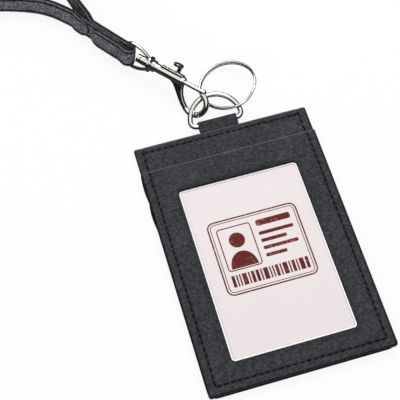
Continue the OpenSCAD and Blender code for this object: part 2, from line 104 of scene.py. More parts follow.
# Cuts the middle out of a face and leaves a frame, this wide
def cutFrame(bm, face, wide):
    bmesh.ops.inset_individual(bm, faces=[face], thickness=wide * milli)
    bmesh.ops.delete(bm, geom=[face], context="FACES")


# A construction solid's mesh with its loose triangles joined
def joinedSolid(node):
    bm = bmesh.new()
    bm.from_mesh(frame["nodes"][node].data)
    bmesh.ops.remove_doubles(bm, verts=bm.verts, dist=mergeDist)
    return bm


# Gives flat faces their thickness and puts their lower side at one level
def thicken(bm, thick, level):
    bmesh.ops.solidify(bm, geom=bm.faces[:], thickness=thick)
    lowest = min(v.co.z for v in bm.verts)
    bmesh.ops.translate(bm, vec=(0, 0, level - lowest), verts=bm.verts)


def squareEdges(bm):
    return [e for e in bm.edges if len(e.link_faces) == 2 and e.calc_face_angle() > squareAngle]


# The camera stands where the photograph's did
cameraSet = {
    "at": (-0.07498, -0.16889, 0.41226),
    "way": (0.1253, 0.4256, -0.8962),
    "lens": 100.0,
    "sensor": 36.0,
    "near": 0.01,
}


def makeCamera():
    data = bpy.data.cameras.new("photoCamera")
    data.lens = cameraSet["lens"]
    data.sensor_width = cameraSet["sensor"]
    data.clip_start = cameraSet["near"]
    obj = bpy.data.objects.new("photoCamera", data)
    obj.location = cameraSet["at"]
    obj.rotation_euler = Vector(cameraSet["way"]).to_track_quat("-Z", "Y").to_euler()
    scene.collection.objects.link(obj)
    scene.camera = obj


makeCamera()
scene.view_settings.view_transform = "Standard"
print("camera ready")


# Shader helpers
def newMaterial(name):
    material = bpy.data.materials.new(name)
    material.use_nodes = True
    material.node_tree.nodes.clear()
    return material, material.node_tree


def addNode(tree, kind, inputs=None, **settings):
    node = tree.nodes.new(kind)
    for key, value in settings.items():
        setattr(node, key, value)
    for key, value in (inputs or {}).items():
        if isinstance(value, bpy.types.NodeSocket):
            tree.links.new(value, node.inputs[key])
        else:
            node.inputs[key].default_value = value
    return node


def mathNode(tree, operation, a, b=0.0, clamp=False):
    node = addNode(tree, "ShaderNodeMath", {0: a, 1: b}, operation=operation, use_clamp=clamp)
    return node.outputs[0]


def mixColor(tree, factor, a, b):
    node = addNode(tree, "ShaderNodeMix", {0: factor, 6: a, 7: b}, data_type="RGBA")
    return node.outputs[2]


def noiseNode(tree, place, scale, detail, rough=0.5):
    return addNode(tree, "ShaderNodeTexNoise", {"Vector": place, "Scale": scale, "Detail": detail,
                   "Roughness": rough})


def bumpNode(tree, height, strength, depth):
    node = addNode(tree, "ShaderNodeBump", {"Height": height, "Strength": strength, "Distance": depth})
    return node.outputs[0]


def rangeNode(tree, value, fromMin, fromMax, toMin=0.0, toMax=1.0, kind="LINEAR"):
    node = addNode(tree, "ShaderNodeMapRange", {"Value": value, "From Min": fromMin, "From Max": fromMax,
                   "To Min": toMin, "To Max": toMax}, interpolation_type=kind)
    return node.outputs[0]


def objectPlace(tree):
    return addNode(tree, "ShaderNodeTexCoord").outputs["Object"]


def endMaterial(tree, inputs):
    shader = addNode(tree, "ShaderNodeBsdfPrincipled", inputs)
    addNode(tree, "ShaderNodeOutputMaterial", {0: shader.outputs[0]})


# A group takes a vector and a scale, and gives the named masks or heights
def newGroup(name, scale, *results):
    group = bpy.data.node_groups.new(name, "ShaderNodeTree")
    group.interface.new_socket("Vector", in_out="INPUT", socket_type="NodeSocketVector")
    size = group.interface.new_socket("Scale", in_out="INPUT", socket_type="NodeSocketFloat")
    size.default_value = scale
    for label in results:
        group.interface.new_socket(label, in_out="OUTPUT", socket_type="NodeSocketFloat")
    given = group.nodes.new("NodeGroupInput")
    return group, given.outputs["Vector"], given.outputs["Scale"]


def endGroup(group, results):
    addNode(group, "NodeGroupOutput", results)
    return group


# The leather's grain: each noise's scale, detail and roughness, the ranges that make pebbles and
# creases of its cells, and the shares of its tone
pebbleSet = {
    "scale": 1500.0,
    "noises": {"bend": (0.45, 2.0, 0.5), "patchy": (0.62, 2.0, 0.5), "fine": (2.6, 3.0, 0.5),
               "cloud": (0.5, 3.0, 0.6), "broad": (0.05, 3.0, 0.5)},
    "bendBy": (0.0009, 0.0009, 0.0009), "lumpSoft": 0.7, "dome": (0.05, 0.7, 1.0, 0.0),
    "fold": (0.0, 0.2, 1.0, 0.0), "patches": (0.4, 0.58, 0.12, 1.0), "domeHeight": 0.8, "fineHeight": 0.3,
    "tones": {"cloud": 0.27, "fine": 0.48, "broad": 0.13, "own": 0.12},
}


def makePebbleGroup():
    group, flat, scale = newGroup("pebbleGrain", pebbleSet["scale"], "Height", "Crease", "Tone")
    noises = {name: noiseNode(group, flat, mathNode(group, "MULTIPLY", scale, times), detail, rough)
              for name, (times, detail, rough) in pebbleSet["noises"].items()}
    shift = addNode(group, "ShaderNodeVectorMath", {0: noises["bend"].outputs["Color"],
                    1: pebbleSet["bendBy"]}, operation="MULTIPLY")
    bent = addNode(group, "ShaderNodeVectorMath", {0: flat, 1: shift.outputs[0]}, operation="ADD")
    place = {"Vector": bent.outputs[0], "Scale": scale}
    cells = addNode(group, "ShaderNodeTexVoronoi", place, feature="DISTANCE_TO_EDGE")
    pebbles = addNode(group, "ShaderNodeTexVoronoi", place)
    lump = addNode(group, "ShaderNodeTexVoronoi", {**place, "Smoothness": pebbleSet["lumpSoft"]},
                   feature="SMOOTH_F1")
    dome = rangeNode(group, lump.outputs["Distance"], *pebbleSet["dome"], "SMOOTHSTEP")
    fold = rangeNode(group, cells.outputs["Distance"], *pebbleSet["fold"], "SMOOTHSTEP")
    deepest = rangeNode(group, noises["patchy"].outputs["Fac"], *pebbleSet["patches"])
    own = addNode(group, "ShaderNodeSeparateColor", {"Color": pebbles.outputs["Color"]}).outputs[0]
    height = mathNode(group, "ADD", mathNode(group, "MULTIPLY", dome, pebbleSet["domeHeight"]),
                      mathNode(group, "MULTIPLY", noises["fine"].outputs["Fac"], pebbleSet["fineHeight"]))
    tone = 0.0
    for name, share in pebbleSet["tones"].items():
        part = own if name == "own" else noises[name].outputs["Fac"]
        tone = mathNode(group, "ADD", mathNode(group, "MULTIPLY", part, share), tone)
    crease = mathNode(group, "MULTIPLY", fold, deepest)
    return endGroup(group, {"Height": height, "Crease": crease, "Tone": tone})


wearSet = {"scale": 900.0, "smudge": 0.35, "smudgeDetail": 4.0, "turn": (0.3, 0.5, 0.9),
           "stretch": (1.0, 12.0, 1.0), "scratchDetail": 5.0}


def makeWearGroup():
    group, flat, scale = newGroup("fineWear", wearSet["scale"], "Smudge", "Scratch")
    smudge = noiseNode(group, flat, mathNode(group, "MULTIPLY", scale, wearSet["smudge"]),
                       wearSet["smudgeDetail"])
    stretched = addNode(group, "ShaderNodeMapping", {"Vector": flat, "Rotation": wearSet["turn"],
                        "Scale": wearSet["stretch"]})
    scratch = noiseNode(group, stretched.outputs[0], scale, wearSet["scratchDetail"])
    return endGroup(group, {"Smudge": smudge.outputs["Fac"], "Scratch": scratch.outputs["Fac"]})


pebbleGroup = makePebbleGroup()
wearGroup = makeWearGroup()

leatherSet = {
    "wallet": {"dark": (0.011, 0.0114, 0.015, 1), "light": (0.073, 0.075, 0.087, 1), "grain": 1050.0,
               "squeeze": (1.0, 1.3, 1.0), "spread": (0.355, 0.655), "depth": 0.00026, "rough": 0.6},
    "lining": {"dark": (0.013, 0.0135, 0.0165, 1), "light": (0.06, 0.061, 0.071, 1), "grain": 1500.0,
               "squeeze": (1.0, 1.0, 1.0), "spread": (0.36, 0.64), "depth": 0.00014, "rough": 0.66},
    "strap": {"dark": (0.02, 0.022, 0.027, 1), "light": (0.34, 0.357, 0.385, 1), "grain": 1800.0,
              "squeeze": (1.0, 1.0, 1.0), "spread": (0.43, 0.59), "depth": 0.00032, "rough": 0.48},
    # seam is the black of edge paint and of painted shade in stitch grooves, margins and cut edges;
    # paintedHighlight is a painted highlight on edges and corners
    "seam": (0.0035, 0.0036, 0.0045, 1),
    "paintedHighlight": (0.21, 0.215, 0.225, 1),
    "creaseShade": 0.85, "creaseRough": 0.18, "bump": 0.85, "specular": 0.2,
}


def makeLeather(name, settings, coords="Object"):
    material, tree = newMaterial(name)
    flat = addNode(tree, "ShaderNodeTexCoord").outputs[coords]
    place = addNode(tree, "ShaderNodeVectorMath", {0: flat, 1: settings["squeeze"]}, operation="MULTIPLY")
    grain = addNode(tree, "ShaderNodeGroup", {"Vector": place.outputs[0], "Scale": settings["grain"]},
                    node_tree=pebbleGroup)
    crease = grain.outputs["Crease"]
    tone = rangeNode(tree, grain.outputs["Tone"], *settings["spread"])
    color = mixColor(tree, tone, settings["dark"], settings["light"])
    # Painted shade: the grain's creases are darkened towards the dark colour
    color = mixColor(tree, mathNode(tree, "MULTIPLY", crease, leatherSet["creaseShade"]), color,
                     settings["dark"])
    # The attribute's first value mixes in black: edge paint, and painted shade along the stitch grooves, the
    # strap's margins and the cut edges. Its second value mixes in a painted highlight.
    paintShadeHighlight = addNode(tree, "ShaderNodeAttribute", attribute_name="paintShadeHighlight")
    split = addNode(tree, "ShaderNodeSeparateXYZ", {0: paintShadeHighlight.outputs["Vector"]})
    color = mixColor(tree, split.outputs[0], color, leatherSet["seam"])
    color = mixColor(tree, split.outputs[1], color, leatherSet["paintedHighlight"])
    rough = mathNode(tree, "ADD", mathNode(tree, "MULTIPLY", crease, leatherSet["creaseRough"]),
                     settings["rough"])
    bump = bumpNode(tree, grain.outputs["Height"], leatherSet["bump"], settings["depth"])
    endMaterial(tree, {"Base Color": color, "Roughness": rough, "Normal": bump,
                       "Specular IOR Level": leatherSet["specular"]})
    return material


# Plain finishes: a noise (scale, detail) or a wave (scale, distortion) mixes two colours and lifts a
# bump (strength, depth), and the shader has values of its own
finishSet = {
    "edgePaint": {"noise": (2200.0, 4.0), "bump": (0.5, 0.0001), "shader": {"Roughness": 0.5},
                  "colors": ((0.006, 0.0065, 0.0075, 1), (0.02, 0.0215, 0.024, 1))},
    "boardCore": {"noise": (2200.0, 4.0), "bump": (0.5, 0.0001), "shader": {"Roughness": 0.5},
                  "colors": ((0.04, 0.04, 0.045, 1), (0.11, 0.11, 0.118, 1))},
    "waxedThread": {"wave": (900.0, 2.0), "bump": (0.5, 0.00008),
                    "shader": {"Roughness": 0.7, "Specular IOR Level": 0.04},
                    "colors": ((0.0015, 0.0015, 0.002, 1), (0.006, 0.0062, 0.0075, 1))},
    "cardStock": {"noise": (45.0, 3.0), "shader": {"Roughness": 0.45, "Specular IOR Level": 0.3},
                  "colors": ((0.79, 0.71, 0.718, 1), (0.825, 0.748, 0.757, 1))},
    "clearFilm": {"noise": (40.0, 2.0), "bump": (0.3, 0.0004),
                  "shader": {"Base Color": (0.95, 0.93, 0.94, 1), "Alpha": 0.006, "Roughness": 0.12}},
    "paleWeld": {"noise": (350.0, 3.0), "shader": {"Roughness": 0.25},
                 "colors": ((0.95, 0.945, 0.945, 1), (1.0, 1.0, 1.0, 1))},
    "bandRubber": {"noise": (1200.0, 4.0), "bump": (0.4, 0.00008), "shader": {"Roughness": 0.7},
                   "colors": ((0.018, 0.018, 0.02, 1), (0.055, 0.055, 0.06, 1))},
}


def makeFinish(name):
    settings = finishSet[name]
    material, tree = newMaterial(name)
    if "wave" in settings:
        scale, bent = settings["wave"]
        mask = addNode(tree, "ShaderNodeTexWave", {"Vector": objectPlace(tree), "Scale": scale,
                       "Distortion": bent}, bands_direction="DIAGONAL").outputs["Fac"]
    else:
        mask = noiseNode(tree, objectPlace(tree), *settings["noise"]).outputs["Fac"]
    inputs = dict(settings["shader"])
    if "colors" in settings:
        inputs["Base Color"] = mixColor(tree, mask, *settings["colors"])
    if "bump" in settings:
        inputs["Normal"] = bumpNode(tree, mask, *settings["bump"])
    endMaterial(tree, inputs)
    return material


metalSet = {
    "nickelPlate": {"color": (0.86, 0.85, 0.81, 1), "tint": (0.74, 0.735, 0.70, 1), "rough": 0.12},
    "springSteel": {"color": (0.62, 0.62, 0.62, 1), "tint": (0.45, 0.45, 0.46, 1), "rough": 0.25},
    "roughShare": (0.6, 1.6), "bump": (0.12, 0.00003),
}


def makeMetal(name):
    settings = metalSet[name]
    material, tree = newMaterial(name)
    wear = addNode(tree, "ShaderNodeGroup", {"Vector": objectPlace(tree)}, node_tree=wearGroup)
    smudge = wear.outputs["Smudge"]
    color = mixColor(tree, smudge, settings["color"], settings["tint"])
    rough = rangeNode(tree, smudge, 0.0, 1.0, *[settings["rough"] * s for s in metalSet["roughShare"]])
    bump = bumpNode(tree, wear.outputs["Scratch"], *metalSet["bump"])
    endMaterial(tree, {"Base Color": color, "Metallic": 1.0, "Roughness": rough, "Normal": bump})
    return material


inkSet = {"blot": (900.0, 6.0), "patch": (130.0, 2.0), "patchShare": 0.5, "worn": (0.8, 1.0),
          "colors": ((0.12, 0.012, 0.008, 1), (0.42, 0.17, 0.14, 1)),
          "shader": {"Roughness": 0.6, "Specular IOR Level": 0.04}}


def makeInk():
    material, tree = newMaterial("stampInk")
    place = objectPlace(tree)
    blot = noiseNode(tree, place, *inkSet["blot"]).outputs["Fac"]
    patch = noiseNode(tree, place, *inkSet["patch"]).outputs["Fac"]
    both = mathNode(tree, "ADD", blot, mathNode(tree, "MULTIPLY", patch, inkSet["patchShare"]))
    color = mixColor(tree, rangeNode(tree, both, *inkSet["worn"]), *inkSet["colors"])
    endMaterial(tree, {"Base Color": color, **inkSet["shader"]})
    return material


walletLeather = makeLeather("walletLeather", leatherSet["wallet"])
liningLeather = makeLeather("liningLeather", leatherSet["lining"])
strapLeather = makeLeather("strapLeather", leatherSet["strap"], "UV")
edgePaint = makeFinish("edgePaint")
boardCore = makeFinish("boardCore")
waxedThread = makeFinish("waxedThread")
nickel = makeMetal("nickelPlate")
springSteel = makeMetal("springSteel")
cardStock = makeFinish("cardStock")
stampInk = makeInk()
clearFilm = makeFinish("clearFilm")
paleWeld = makeFinish("paleWeld")
bandRubber = makeFinish("bandRubber")
print("materials ready")

# The strap's end hangs on the eye's bar: its frame comes from the eye's hinge and the swivel
bundleSet = {"turn": -5.0, "drop": -0.9, "foldRadius": 1.3, "foldShare": 0.9, "neck": 3.4,
             "tailEnd": 19.5, "legLen": 20.0, "plyStart": 5.0, "plyEnd": 22.0, "play": 0.05,
             "neckSteps": 6, "bendSteps": 16, "endSteps": 8, "unsewn": 6, "slimmest": 0.08}
strapSet = {"width": 9.0, "thick": 2.0, "edge": 0.42, "seam": 0.26, "inset": 1.35, "groove": 0.17,
            "bank": 0.48, "flat": 0.22, "flatShare": 0.7, "step": 1.6, "pitch": 2.7,
            "stitch": (1.95, 0.5, 0.42), "sunk": 0.03, "foldStart": 1.2, "loopStart": 1.4}
legAt = strapSet["thick"] * 3 / 4 + bundleSet["play"]
plyMeet = bundleSet["plyEnd"] + strapSet["width"] / 2
barAt = Vector(joints["eye_in_strap"]["pos_m"])
barWay = Vector(joints["eye_in_strap"]["axis"]).normalized()
hookWay = Vector(joints["snap_swivel"]["axis"]).normalized()
eyeOut = hookWay.cross(barWay)
bundleTurn = math.radians(bundleSet["turn"])
bundleAlong = -(hookWay * math.cos(bundleTurn) - eyeOut * math.sin(bundleTurn))
bundleOut = hookWay * math.sin(bundleTurn) + eyeOut * math.cos(bundleTurn)


def bundlePoint(along, across):
    return barAt + (bundleAlong * along + barWay * bundleSet["drop"] + bundleOut * across) * milli


# Section of the strap: two plies sewn together, a seam between them at each edge and a groove
# under each row of stitches. Each point has its place across the width and through the thickness,
# how much it is darkened, by black edge paint round the edges and by painted shade in the margins
# and the stitch grooves, and how much it is lightened by a painted highlight on the corners and groove
# banks.
def strapSection(width, thick, seamed):
    half, deep = width / 2, thick / 2
    edge, row = min(strapSet["edge"], deep * 0.6), half - strapSet["inset"]
    seam, groove = (strapSet["seam"], strapSet["groove"]) if seamed else (0.0, 0.0)
    bank, flat, floor = strapSet["bank"], strapSet["flat"], deep - groove * strapSet["flatShare"]
    upper = [(half - seam, 0, 1, 0), (half - 0.04, deep * 0.16, 0.9, 0), (half, deep * 0.45, 0.85, 0),
             (half - 0.05, deep - edge * 0.55, 0.6, 0.1), (half - edge * 0.42, deep - edge * 0.13, 0, 0.55),
             (half - edge, deep, 0.35, 0.1), (row + bank, deep, 0.5, 0), (row + flat, floor, 1, 0),
             (row, deep - groove, 1, 0), (row - flat, floor, 0.9, 0), (row - bank, deep, 0, 0.12),
             (row * 0.5, deep + groove * 0.3, 0, 0)]
    upper = upper + [(-a, *rest) for a, *rest in reversed(upper)][:-1]
    lower = [(-a, -c, *paintShadeHighlight) for a, c, *paintShadeHighlight in upper]
    return [(a * milli, c * milli, dark, paintedHighlight) for a, c, dark, paintedHighlight in upper + lower]


# Lofts the section along stations: a point, the ways across and out, and the share of the width
def strapRings(bm, section, stations, uv, paintShadeHighlight):
    rings, length = [], 0.0
    around = [0.0]
    for i, (a, c, dark, paintedHighlight) in enumerate(section):
        b, d = section[(i + 1) % len(section)][:2]
        around.append(around[-1] + math.hypot(b - a, d - c))
    for i, (point, across, out, share) in enumerate(stations):
        if i:
            length += (point - stations[i - 1][0]).length
        ring = []
        for a, c, dark, paintedHighlight in section:
            vert = bm.verts.new(point + across * a * share + out * c)
            vert[paintShadeHighlight] = (dark, paintedHighlight, 0)
            ring.append(vert)
        rings.append((ring, length))
    for (a, la), (b, lb) in zip(rings, rings[1:]):
        for j in range(len(section)):
            k = (j + 1) % len(section)
            face = bm.faces.new((a[j], b[j], b[k], a[k]))
            for loop, place in zip(face.loops, ((la, around[j]), (lb, around[j]),
                                                (lb, around[j + 1]), (la, around[j + 1]))):
                loop[uv].uv = place
    for ring, flip in ((rings[0][0], False), (rings[-1][0], True)):
        face = bm.faces.new(ring if flip else list(reversed(ring)))
        face.material_index = 1
        for loop, point in zip(face.loops, section):
            loop[uv].uv = point[:2]


def makeUnitBead():
    bm = bmesh.new()
    bmesh.ops.create_uvsphere(bm, u_segments=8, v_segments=5, radius=1.0)
    points = [v.co.copy() for v in bm.verts]
    faces = [[v.index for v in f.verts] for f in bm.faces]
    bm.free()
    return points, faces


beadPoints, beadFaces = makeUnitBead()


def addStitch(bm, centre, way, across, out, size, slotIndex):
    long, wide, high = [s * milli / 2 for s in size]
    turn = Matrix((across * wide, out * high, way * long)).transposed()
    verts = [bm.verts.new(centre + turn @ p) for p in beadPoints]
    for face in beadFaces:
        bm.faces.new([verts[i] for i in face]).material_index = slotIndex


def walkStations(stations, pitch, start):
    along, nextAt = 0.0, start
    for (p, a, o, _), (q, b, u, _) in zip(stations, stations[1:]):
        step = (q - p).length
        while nextAt <= along + step:
            t = (nextAt - along) / step
            yield p.lerp(q, t), (q - p).normalized(), a.lerp(b, t).normalized(), o.lerp(u, t).normalized()
            nextAt += pitch
        along += step


def sewStrap(bm, stations, start):
    row = (strapSet["width"] / 2 - strapSet["inset"]) * milli
    deep = (strapSet["thick"] / 2 - strapSet["sunk"]) * milli
    for at, way, across, out in walkStations(stations, strapSet["pitch"] * milli, start * milli):
        for side in (1, -1):
            for edge in (1, -1):
                addStitch(bm, at + across * row * edge + out * deep * side, way, across, out,
                          strapSet["stitch"], 2)


# A piece of strap: runs of stations with one section, and rows of stitches along what is sewn
def strapPiece(name, thick, runs, sewn=(), start=0.0):
    bm = bmesh.new()
    uv = bm.loops.layers.uv.new("strapUV")
    paintShadeHighlight = bm.verts.layers.float_vector.new("paintShadeHighlight")
    section = strapSection(strapSet["width"], thick, bool(sewn))
    for stations in runs:
        strapRings(bm, section, stations, uv, paintShadeHighlight)
    sewStrap(bm, sewn, start)
    return makePiece(bm, name, strapLeather, edgePaint, waxedThread)


# Route of the strap, in millimetres: x, y, z of its middle, and its lean to the right of its way
routeA = [(-40.9, 123.5, 5.7, 12), (-42.5, 129.5, 5.4, 9), (-44.5, 136.5, 5.2, 6), (-46.8, 145, 5, 3),
          (-49.2, 154.5, 5, 0), (-51, 164.5, 5, 0), (-51.9, 175, 5, 0)]
routeB = [(-46.3, 125.4, 5.7, 13), (-49.6, 129.4, 5.5, 13), (-54, 133.8, 5.3, 12), (-59.6, 137.7, 5.2, 10),
          (-65.8, 140.6, 5, 7), (-72.4, 142.8, 5, 4), (-79.5, 144.8, 5, 1), (-87, 147.6, 5, 0),
          (-93.6, 152.4, 5, 0), (-98, 159.6, 5, 0), (-100, 168.5, 5, 0), (-98.8, 178.6, 5, 0),
          (-94.4, 189, 5, 0), (-87, 199.4, 5, 0), (-77, 209, 5, 0), (-65.4, 217, 5, 0),
          (-53, 223.4, 5, 0)]
coilSet = {"centre": (-6, 186, 5), "inRadius": 42.0, "gap": 0.7, "angle": 270.0, "joins": 60.0,
           "tieStep": 5.5, "facets": 24, "steps": 72}
coilPitch = strapSet["thick"] + coilSet["gap"]
coilOut = coilSet["inRadius"] + 2 * coilPitch * coilSet["angle"] / 360


def coilRadius(way):
    return coilOut - 2 * coilPitch * way / 360


def coilPoint(radius, way):
    x, y, z = coilSet["centre"]
    a = math.radians(way)
    return Vector((x - radius * math.cos(a), y + radius * math.sin(a), z))


# Winds in, turns back in an S through the middle, and winds out beside itself
def coilPoints():
    turn, join, steps = coilSet["angle"], coilSet["joins"], coilSet["steps"]
    step = 360 / steps
    half = coilSet["inRadius"] / 2
    points = [coilPoint(coilRadius(i * step), i * step) for i in range(int(turn / step) + 1)]
    for centre, sign, last in ((coilPoint(half, turn), 1, steps // 2),
                               (coilPoint(-half, turn), -1, steps // 2 - 1)):
        for i in range(1, last + 1):
            a = math.radians(turn + sign * i * step)
            points.append(centre + Vector((-half * math.cos(a), half * math.sin(a), 0)))
    count = int((turn + 180 - join) / step)
    points += [coilPoint(coilRadius(turn + 180 - i * step) + coilPitch, turn + 180 - i * step)
               for i in range(count + 1)]
    return points


def smoothRoute(knots, leans, first, last, step):
    ways = [first.normalized()]
    for before, knot, after in zip(knots, knots[1:], knots[2:]):
        a, b = (knot - before).length, (after - knot).length
        ways.append(((knot - before) * (b / a) + (after - knot) * (a / b)).normalized())
    ways.append(last.normalized())
    points, tilts = [], []
    for i, (p, q) in enumerate(zip(knots, knots[1:])):
        span = (q - p).length
        m, n = ways[i] * span, ways[i + 1] * span
        count = max(1, round(span / step))
        for k in range(count):
            t = k / count
            points.append(p * (2 * t**3 - 3 * t**2 + 1) + m * (t**3 - 2 * t**2 + t)
                          + q * (3 * t**2 - 2 * t**3) + n * (t**3 - t**2))
            tilts.append(leans[i] + (leans[i + 1] - leans[i]) * t)
    return points, tilts


def strapStations(points, tilts, first, last):
    ways = [(after - before).normalized() for before, after in zip(points, points[2:])]
    stations = []
    for point, way, tilt in zip(points, [first] + ways + [last], tilts):
        right, lean = way.cross(up).normalized(), math.radians(tilt)
        across = right.cross(way).normalized() * math.cos(lean) + right * math.sin(lean)
        stations.append((point * milli, across, way.cross(across), 1.0))
    return stations


# One side of the loop: out of the strap's end, along its route and into the coil
def strapSide(start, across, route, coilEnd, coilWay):
    sideways = barWay.dot(bundleAlong.cross(up).normalized())
    endLean = math.degrees(math.asin(max(-1.0, min(1.0, sideways))))
    knots = [bundlePoint(start + s, across) / milli for s in (0, strapSet["thick"])]
    knots += [Vector(p[:3]) for p in route] + [coilEnd]
    leans = [endLean, endLean] + [p[3] for p in route] + [0]
    return smoothRoute(knots, leans, bundleAlong, coilWay, strapSet["step"])


def makeStrap():
    coil = coilPoints()
    pointsA, tiltsA = strapSide(bundleSet["legLen"], -legAt, routeA, coil[0], coil[1] - coil[0])
    pointsB, tiltsB = strapSide(plyMeet, strapSet["thick"] / 4, routeB, coil[-1], coil[-2] - coil[-1])
    points = pointsA + coil + pointsB[::-1]
    tilts = tiltsA + [0] * len(coil) + [-t for t in tiltsB[::-1]]
    stations = strapStations(points, tilts, bundleAlong, -bundleAlong)
    obj = strapPiece("neckStrap", strapSet["thick"], [stations], stations, strapSet["loopStart"])
    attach(obj, "strap")
    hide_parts("strap_strand_a", "strap_strand_b", "strap_coil")
    length = sum((b - a).length for a, b in zip(points, points[1:])) * milli
    tuple(stations[0][0])
    [tuple(s[0]) for s in stations]
    print("neck strap ready, metres:", round(length, 4))


makeStrap()


# The strap's end: round the bar and back, with a rounded tail
def makeFold():
    thick, width, neck = strapSet["thick"], strapSet["width"], bundleSet["neck"]
    neckSteps, bendSteps, endSteps = bundleSet["neckSteps"], bundleSet["bendSteps"], bundleSet["endSteps"]
    bend = bundleSet["foldRadius"] + bundleSet["foldShare"] * thick / 2
    roundFrom = bundleSet["tailEnd"] - width / 2

    def straightRun(start, end, across):
        steps = round(abs(end - start) / strapSet["step"])
        return [(start + (end - start) * i / steps, across) for i in range(steps + 1)]

    points = straightRun(bundleSet["legLen"], neck, -legAt)
    for i in range(1, neckSteps):
        points.append((neck * (1 - i / neckSteps), (legAt - bend) * smoothStep(i / neckSteps) - legAt))
    for i in range(bendSteps + 1):
        a = math.radians(-90 + 180 * i / bendSteps)
        points.append((-bend * math.cos(a), bend * math.sin(a)))
    for i in range(1, neckSteps):
        points.append((neck * i / neckSteps, bend + (legAt - bend) * smoothStep(i / neckSteps)))
    points += straightRun(neck, roundFrom, legAt)
    shares = [1.0] * len(points)
    for i in range(1, endSteps + 1):
        a = math.radians(90 * i / endSteps)
        points.append((roundFrom + width / 2 * math.sin(a), legAt))
        shares.append(max(bundleSet["slimmest"], math.cos(a)))
    stations = []
    for i, (point, share) in enumerate(zip(points, shares)):
        before, after = points[max(0, i - 1)], points[min(len(points) - 1, i + 1)]
        way = (bundlePoint(*after) - bundlePoint(*before)).normalized()
        stations.append((bundlePoint(*point), barWay, way.cross(barWay), share))
    sewn = stations[:-bundleSet["unsewn"]]
    obj = strapPiece("foldedEnd", thick, [stations], sewn, strapSet["foldStart"])
    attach(obj, "strap")
    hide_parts("strap_end_fold")


# The other end splits: one ply runs between the legs, the other laps and ends rounded
def makePlies():
    width, ply, steps = strapSet["width"], strapSet["thick"] / 2, bundleSet["endSteps"]
    start, end = bundleSet["plyStart"], bundleSet["plyEnd"]
    inner = [(start + (plyMeet - start) * i / steps, 1.0) for i in range(steps + 1)]
    angles = [math.radians(90 * (1 - i / steps)) for i in range(steps)]
    lapped = [(end + width / 2 * (1 - math.sin(a)), max(bundleSet["slimmest"], math.cos(a)))
              for a in angles]
    runs = [[(bundlePoint(along, across), barWay, bundleAlong.cross(barWay), share) for along, share in run]
            for run, across in ((inner, 0.0), (lapped + [(plyMeet, 1.0)], ply))]
    obj = strapPiece("lappedEnd", ply, runs)
    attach(obj, "strap")
    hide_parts("strap_end_ply")


makeFold()
makePlies()
print("strap end ready")

# The band that ties the coil
tieSet = {"play": 0.3, "lift": 0.1, "thick": 0.4, "width": 8.0, "round": 0.9, "rim": 0.12}


def makeTie():
    way = coilSet["tieStep"] * 360 / coilSet["facets"]
    share = math.cos(math.pi / coilSet["facets"])
    deep = strapSet["thick"] / 2 + tieSet["play"]
    low = (coilRadius(way + 360) + coilPitch) * share - deep
    high = (coilRadius(way) + coilPitch) * share + deep
    across = (high - low) / 2 + tieSet["thick"]
    tall = strapSet["width"] / 2 + tieSet["lift"] + tieSet["thick"]
    middle = coilPoint((low + high) / 2, way)
    out = (coilPoint(1, way) - coilPoint(0, way)).normalized()
    along = out.cross(up)
    bm = bmesh.new()
    corners = [(-across, -tall), (across, -tall), (across, tall), (-across, tall)]
    verts = [bm.verts.new((middle + out * a + up * c - along * tieSet["width"] / 2) * milli)
             for a, c in corners]
    bm.faces.new(verts)
    roundOff(bm, verts, tieSet["round"], 4, "VERTICES")
    cutFrame(bm, bm.faces[:][0], tieSet["thick"])
    made = bmesh.ops.extrude_face_region(bm, geom=list(bm.faces), use_keep_orig=True)
    bmesh.ops.translate(bm, vec=along * tieSet["width"] * milli,
                        verts=[g for g in made["geom"] if isinstance(g, bmesh.types.BMVert)])
    bmesh.ops.remove_doubles(bm, verts=bm.verts, dist=mergeDist)
    roundOff(bm, squareEdges(bm), tieSet["rim"], 2)
    obj = makePiece(bm, "coilBand", bandRubber)
    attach(obj, "strap")
    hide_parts("coil_tie")


makeTie()

# Wallet leathers. A sheet is one face, cut into a grid that follows its seams, then given its thickness,
# its round edges and its grooves.
# seamLine and seamShade set how wide and how dark the painted shade along the stitch grooves is
walletSet = {"grid": 2.4, "corner": 1.0, "slotCorner": 3.5, "mouthCorner": 0.4, "edgeRound": 0.3,
             "roundShare": 0.42, "windowRound": 1.5, "windowClear": 0.3, "filmLap": 3.0,
             "seamInset": 3.5, "topSeam": 2.6, "grooveDepth": 0.36, "grooveWidth": 0.5,
             "grooveCuts": (-1.6, -0.9, -0.4, 0, 0.4, 0.9, 1.6), "grooveClear": 0.8,
             "seamLine": 0.42, "seamShade": 0.5, "border": 0.75, "shadeBorder": 1.3, "wave": 0.05,
             "waveSize": 26.0, "waveApart": 500.0, "pitch": 2.75, "stitch": (1.95, 0.72, 0.5),
             "slant": 5.0, "proud": 0.06, "slotThick": 0.62, "bulgeOut": 0.55, "bulgeIn": 4.0,
             "bulges": {"upperSlot": 14.0, "lowerSlot": 12.0}, "bulgeOver": 1.0, "grooveFrom": 0.6,
             "sewnFrom": 1.0, "sewnTo": 1.2, "slotSewnTo": 0.5}
# Painted edges, painted shade by the window's cut and painted highlights on mouths and slot edges: how far
# in they reach, how dark they are and how much lighter the painted highlight makes them
edgeSet = {"side": 0.35, "sideDark": 0.9, "mouth": 0.4, "mouthDepth": 0.6, "mouthHighlight": 0.4,
           "slotHighlight": 0.45, "cut": 0.2, "beside": 0.4, "besideShade": 0.35, "besideTopShade": 0.75}


def seamDistance(x, y, seams):
    best = 1.0
    for (ax, ay), (bx, by) in seams:
        dx, dy = bx - ax, by - ay
        t = max(0.0, min(1.0, ((x - ax) * dx + (y - ay) * dy) / (dx * dx + dy * dy)))
        best = min(best, math.hypot(x - ax - dx * t, y - ay - dy * t))
    return best


